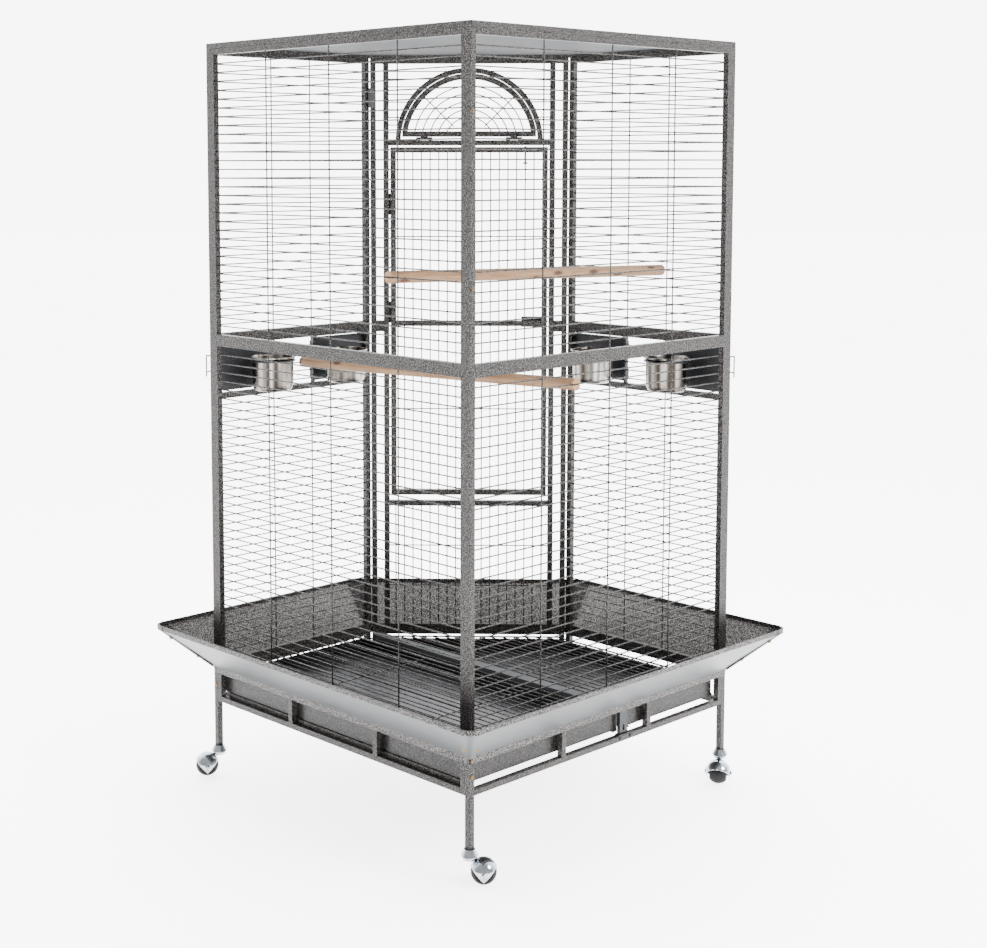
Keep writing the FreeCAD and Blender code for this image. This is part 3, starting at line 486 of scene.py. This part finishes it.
def rim_bead():
    """Rolled edge on top of the guard's lip, all the way round."""
    path = rounded_outline(GUARD_RUN - BEAD_R, GUARD_CORNER_R, RIM_TOP - BEAD_R * 0.5)
    round_bar("rim_bead", path, BEAD_R, "hammertone", "cage", cyclic=True)


STRIP_SIDE = 0.010       # width of a corner strip beside the bend
STRIP_STEPS = 6


def corner_row(index, part, lift):
    """Points across one corner of the guard, at a part of the way from the stand to the rim."""
    tip, before, after, inward, half_turn = outline_corner(index, GUARD_RUN * part)
    radius = 0.004 + (GUARD_CORNER_R - 0.004) * part
    centre = tip + inward * (radius / math.cos(half_turn))
    start = tip - before * radius * math.tan(half_turn) - centre
    height = Vector((0, 0, STAND_TOP + (RIM_TOP - GUARD_LIP - STAND_TOP) * part + lift))
    row = [centre + start - before * STRIP_SIDE + height]
    for k in range(STRIP_STEPS + 1):
        turn = Matrix.Rotation(2 * half_turn * k / STRIP_STEPS, 3, "Z")
        row.append(centre + turn @ start + height)
    row.append(row[-1] + after * STRIP_SIDE)
    return row


def inner_corner_strips():
    """Folded strips inside the guard, over the seams of its sheets."""
    for index, wall in enumerate(WALL_ORDER):
        bm = bmesh.new()
        rows = []
        for k in range(9):
            part = 0.03 + 0.95 * k / 8
            rows.append([bm.verts.new(point) for point in corner_row(index, part, 0.0030)])
        for low, high in zip(rows, rows[1:]):
            for k in range(len(low) - 1):
                bm.faces.new((low[k], low[k + 1], high[k + 1], high[k]))
        bmesh.ops.solidify(bm, geom=bm.faces[:], thickness=0.0009)
        name = "corner_strip_inside_" + wall
        add_piece(name, mesh_from(bm, name, smooth=False), "hammertone", "cage")


def guard_bolts():
    """Two bolts on each flange of every corner strip, near the rim and near the stand; the back corner's strip
    gets one bolt on each flange.
    """
    rise = RIM_TOP - STAND_TOP
    for index, wall in enumerate(WALL_ORDER):
        bm = bmesh.new()
        for part in ((0.36,) if index == 0 else (0.30, 0.80)):
            distance = GUARD_RUN * part + 0.0030
            tip, before, after, inward, half_turn = outline_corner(index, distance)
            z = STAND_TOP + (rise - 0.009) * part
            for along, wall_dir in ((-before, before), (after, after)):
                reach = 0.007 + GUARD_CORNER_R * part * math.tan(half_turn)
                outward = Vector((wall_dir.y, -wall_dir.x, 0))
                normal = (outward - Vector((0, 0, 1.05))).normalized()
                pan_head(bm, tip + along * reach + Vector((0, 0, z)), normal, 0.0036)
        name = "guard_bolts_" + wall
        add_piece(name, mesh_from(bm, name), "zinc_yellow", "cage")


# ---------------------------------------------------------------- fittings on walls and stand
def frame_fittings():
    """Screws on the corner tubes, roof clips, end plugs and a small plate by the front post."""
    bm = bmesh.new()
    outward = Vector((0, -1, 0))
    for wall in WALL_ORDER:
        matrix = wall_matrix(wall)
        direction = matrix.to_3x3() @ outward
        for z in (STAND_LOW + 0.038, STAND_TOP - 0.005):
            pan_head(bm, matrix @ Vector((TUBE / 2, 0, z)), direction, 0.0032, 0.0022)
    near_face = wall_matrix("back_left")
    for z in (1.129, 1.453):
        place = near_face @ Vector((TUBE / 2, 0, z))
        pan_head(bm, place, near_face.to_3x3() @ outward, 0.0022, 0.0016)
    add_piece("leg_screws", mesh_from(bm, "leg_screws"), "zinc_yellow", "cage")

    clips = bmesh.new()
    for wall in ("back_left", "back_right"):
        matrix = wall_matrix(wall)
        direction = matrix.to_3x3() @ outward
        for part in (0.25, 0.75):
            place = matrix @ Vector((WALLS[wall][2] * part, 0, ROOF_JOINT))
            pan_head(clips, place, direction, 0.0024, 0.0020)
    add_piece("joint_clips", mesh_from(clips, "joint_clips"), "black_steel", "cage")

    plug = 0.0055
    for wall, x in (("back_left", TUBE / 2), ("side_left", TUBE / 2), ("side_right", SIDE_WALL - TUBE / 2)):
        low = Vector((x - plug, -0.0018, ROOF_JOINT + 0.0005))
        high = Vector((x + plug, 0.0002, ROOF_JOINT + 0.0115))
        soft_block("tube_plug_" + wall, low, high, wall_matrix(wall), "black_steel", "cage")
    low = Vector((2 * HALF_FRONT - 0.0235, TUBE, 1.490))
    high = Vector((2 * HALF_FRONT - 0.0075, TUBE + 0.0025, 1.535))
    soft_block("keeper_plate", low, high, wall_matrix("front"), "sheet_grey", "cage")


# ---------------------------------------------------------------- feeders
def cup_centre(node):
    low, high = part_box(node)
    return (low + high) / 2, low, high


def feeder_cups():
    """Deep-drawn cups with a rounded foot, a step and a rolled rim."""
    for side in ("left", "right"):
        for end in ("rear", "fore"):
            node = "feeder_cup_%s_%s" % (side, end)
            centre, low, high = cup_centre(node)
            rim = (high.x - low.x) / 2
            wall = 0.0458
            tall = high.z - low.z
            sheet = 0.0008
            outside = [(0.004, 0.0), (0.030, 0.0), (0.0375, 0.0012), (0.0415, 0.0045), (0.0438, 0.0095),
                       (wall - 0.0002, 0.020), (wall, tall - 0.0070), (wall + 0.0006, tall - 0.0050)]
            roll = []
            roll_r = 0.0021
            for k in range(9):
                angle = math.radians(-100.0 + 250.0 * k / 8)
                across = rim - roll_r + roll_r * math.cos(angle)
                roll.append((across, tall - roll_r + roll_r * math.sin(angle)))
            inside = [(wall - sheet, tall - 0.0045), (wall - sheet, 0.020), (0.0430, 0.0100),
                      (0.0405, 0.0052), (0.0370, 0.0022), (0.030, 0.0010), (0.004, 0.0010)]
            bm = bmesh.new()
            foot = Matrix.Translation(Vector((centre.x, centre.y, low.z)))
            lathe(bm, outside + roll + inside, foot, 48)
            piece = add_piece(node + "_drawn", mesh_from(bm, node + "_drawn"), "stainless", node)
            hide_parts(node)


# ---------------------------------------------------------------- trays
def tray_hems():
    """Rolled hem on top of each tray's walls."""
    turn = Matrix.Rotation(math.radians(-135.0), 4, "Z")
    to_cage = Matrix.Translation(Vector((0, BACK_Y, 0))) @ turn
    to_plan = to_cage.inverted()
    hem = 0.0012
    for node in ("tray_back", "tray_front"):
        mesh = nodes_by_name[node].data
        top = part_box(node)[1].z
        plan = [to_plan @ vertex.co for vertex in mesh.vertices if vertex.co.z > top - 0.0005]
        v0 = min(p.x for p in plan) + hem
        v1 = max(p.x for p in plan) - hem
        u0 = min(p.y for p in plan) + hem
        near = max(p.y for p in plan if p.x < v0 + 0.004) - hem
        far = max(p.y for p in plan if p.x > v1 - 0.004) - hem
        path = [to_cage @ Vector((v, u, top - hem)) for v, u in ((v0, u0), (v1, u0), (v1, far), (v0, near))]
        round_bar(node + "_hem", path, hem, "hammertone", node, cyclic=True)


# ---------------------------------------------------------------- casters
def caster_hoods():
    """Drawn hoods: a thin ball shell cut to a fork that narrows towards the axle, with its neck."""
    wheels = {}
    swivels = {}
    for entry in frame["joints"]:
        if entry["name"].startswith("caster_roll_"):
            wheels[entry["name"].replace("caster_roll_", "")] = Vector(entry["pos_m"])
        if entry["name"].startswith("caster_swivel_"):
            swivels[entry["name"].replace("caster_swivel_", "")] = Vector(entry["pos_m"])
    shell_r = 0.0275
    sheet = 0.0010
    fork_foot = Vector((0, 0, -0.014))
    for place, centre in wheels.items():
        axis = Vector((swivels[place].x, swivels[place].y, 0))
        trail = Vector((centre.x, centre.y, 0)) - axis
        turn = Matrix.Rotation(math.atan2(trail.y, trail.x), 4, "Z")
        bm = bmesh.new()
        bmesh.ops.create_uvsphere(bm, u_segments=56, v_segments=28, radius=shell_r)
        for side in (-1, 1):
            everything = bm.verts[:] + bm.edges[:] + bm.faces[:]
            normal = Vector((side * 1.05, 0, 1)).normalized()
            cut = {"plane_co": fork_foot, "plane_no": normal, "clear_inner": True}
            bmesh.ops.bisect_plane(bm, geom=everything, **cut)
        bmesh.ops.solidify(bm, geom=bm.faces[:], thickness=sheet)
        bmesh.ops.transform(bm, verts=bm.verts[:], matrix=Matrix.Translation(centre) @ turn)
        neck = [(0.0040, 0.0445), (0.0040, 0.0465), (0.0100, 0.0468), (0.0138, 0.0500), (0.0148, 0.0525),
                (0.0148, 0.0548), (0.0138, 0.0560), (0.0040, 0.0560), (0.0040, 0.0600)]
        lathe(bm, neck, Matrix.Translation(axis), 40)
        across = turn.to_3x3() @ Vector((0, 1, 0))
        axle = [(0.0028, -0.0279), (0.0030, -0.0276), (0.0030, 0.0276), (0.0028, 0.0279)]
        lathe(bm, axle, facing(centre, across), 20)
        for side in (-1, 1):
            hub = [(0.0032, 0.0190), (0.0068, 0.0192), (0.0068, 0.0262), (0.0062, 0.0268), (0.0032, 0.0268)]
            lathe(bm, hub, facing(centre, across * side), 28)
        name = "hood_drawn_" + place
        piece = add_piece(name, mesh_from(bm, name), "chrome_plate", "hood_" + place)
        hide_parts("caster_hood_" + place)


def caster_detail():
    """Rivet ends of each axle and a moulded seam round each wheel."""
    for entry in frame["joints"]:
        if not entry["name"].startswith("caster_roll_"):
            continue
        place = entry["name"].replace("caster_roll_", "")
        axle = Vector(entry["pos_m"])
        along = Vector(entry["axis"]).normalized()
        bm = bmesh.new()
        for side in (-1, 1):
            pan_head(bm, axle + along * side * 0.0284, along * side, 0.0045, 0.0018)
        name = "axle_rivets_" + place
        add_piece(name, mesh_from(bm, name), "chrome_plate", "hood_" + place)
        seam = []
        across = along.orthogonal().normalized()
        for k in range(48):
            turn = Matrix.Rotation(2 * math.pi * k / 48, 3, along)
            seam.append(axle + turn @ across * 0.0244)
        round_bar("wheel_seam_" + place, seam, 0.0006, "black_rubber", "wheel_" + place, cyclic=True)


# ---------------------------------------------------------------- stage, light and camera
def area_light(name, place, target, size, power, colour=(1, 1, 1)):
    light = bpy.data.lights.new(name, "AREA")
    light.shape = "DISK"
    light.size = size
    light.energy = power
    light.color = colour
    lamp = bpy.data.objects.new(name, light)
    lamp.location = place
    lamp.rotation_mode = "QUATERNION"
    lamp.rotation_quaternion = (Vector(target) - Vector(place)).to_track_quat("-Z", "Y")
    bpy.context.scene.collection.objects.link(lamp)


def build_stage():
    bm = bmesh.new()
    bmesh.ops.create_grid(bm, x_segments=1, y_segments=1, size=30.0)
    floor = bpy.data.objects.new("floor", mesh_from(bm, "floor", smooth=False))
    bpy.context.scene.collection.objects.link(floor)
    paint(floor, floor_paint("floor_paint"))

    world = bpy.data.worlds.new("studio")
    world.use_nodes = True
    tree = world.node_tree
    background = tree.nodes["Background"]
    background.inputs["Color"].default_value = (0.98, 0.985, 1.0, 1.0)
    split = tree.nodes.new("ShaderNodeSeparateXYZ")
    tree.links.new(tree.nodes.new("ShaderNodeTexCoord").outputs["Generated"], split.inputs["Vector"])
    door_side = tree.nodes.new("ShaderNodeMapRange")
    door_side.inputs["From Min"].default_value = 0.3
    door_side.inputs["From Max"].default_value = -0.6
    door_side.inputs["To Min"].default_value = 1.2
    door_side.inputs["To Max"].default_value = 8.0
    tree.links.new(split.outputs["Y"], door_side.inputs["Value"])
    tree.links.new(door_side.outputs["Result"], background.inputs["Strength"])
    bpy.context.scene.world = world
    middle = (0, 0, 0.9)
    area_light("key", (-3.6, 2.2, 3.4), middle, 2.2, 420.0)
    area_light("overhead", (0.0, -0.4, 4.2), middle, 3.0, 240.0)


CAMERA_BACK = 3.025      # from the back corner, along +Y
CAMERA_SIDE = 0.014      # from the middle of the cage, along +X
CAMERA_HEIGHT = 1.354
CAMERA_PITCH = 5.50      # degrees below level
CAMERA_YAW = 1.54
CAMERA_ROLL = 0.07
CAMERA_LENS = 60.57


def build_camera():
    data = bpy.data.cameras.new("camera")
    data.sensor_width = 36.0
    data.lens = CAMERA_LENS
    data.shift_x = 0.0763
    data.shift_y = -0.15
    data.clip_end = 100.0
    camera = bpy.data.objects.new("camera", data)
    camera.location = (CAMERA_SIDE, BACK_Y + CAMERA_BACK, CAMERA_HEIGHT)
    turns = (90.0 - CAMERA_PITCH, CAMERA_ROLL, 180.0 + CAMERA_YAW)
    camera.rotation_euler = [math.radians(turn) for turn in turns]
    bpy.context.scene.collection.objects.link(camera)
    bpy.context.scene.camera = camera


paint_frame()
soften_edges()
rim_bead()
inner_corner_strips()
guard_bolts()
frame_fittings()
feeder_cups()
tray_hems()
caster_hoods()
caster_detail()
build_stage()
build_camera()
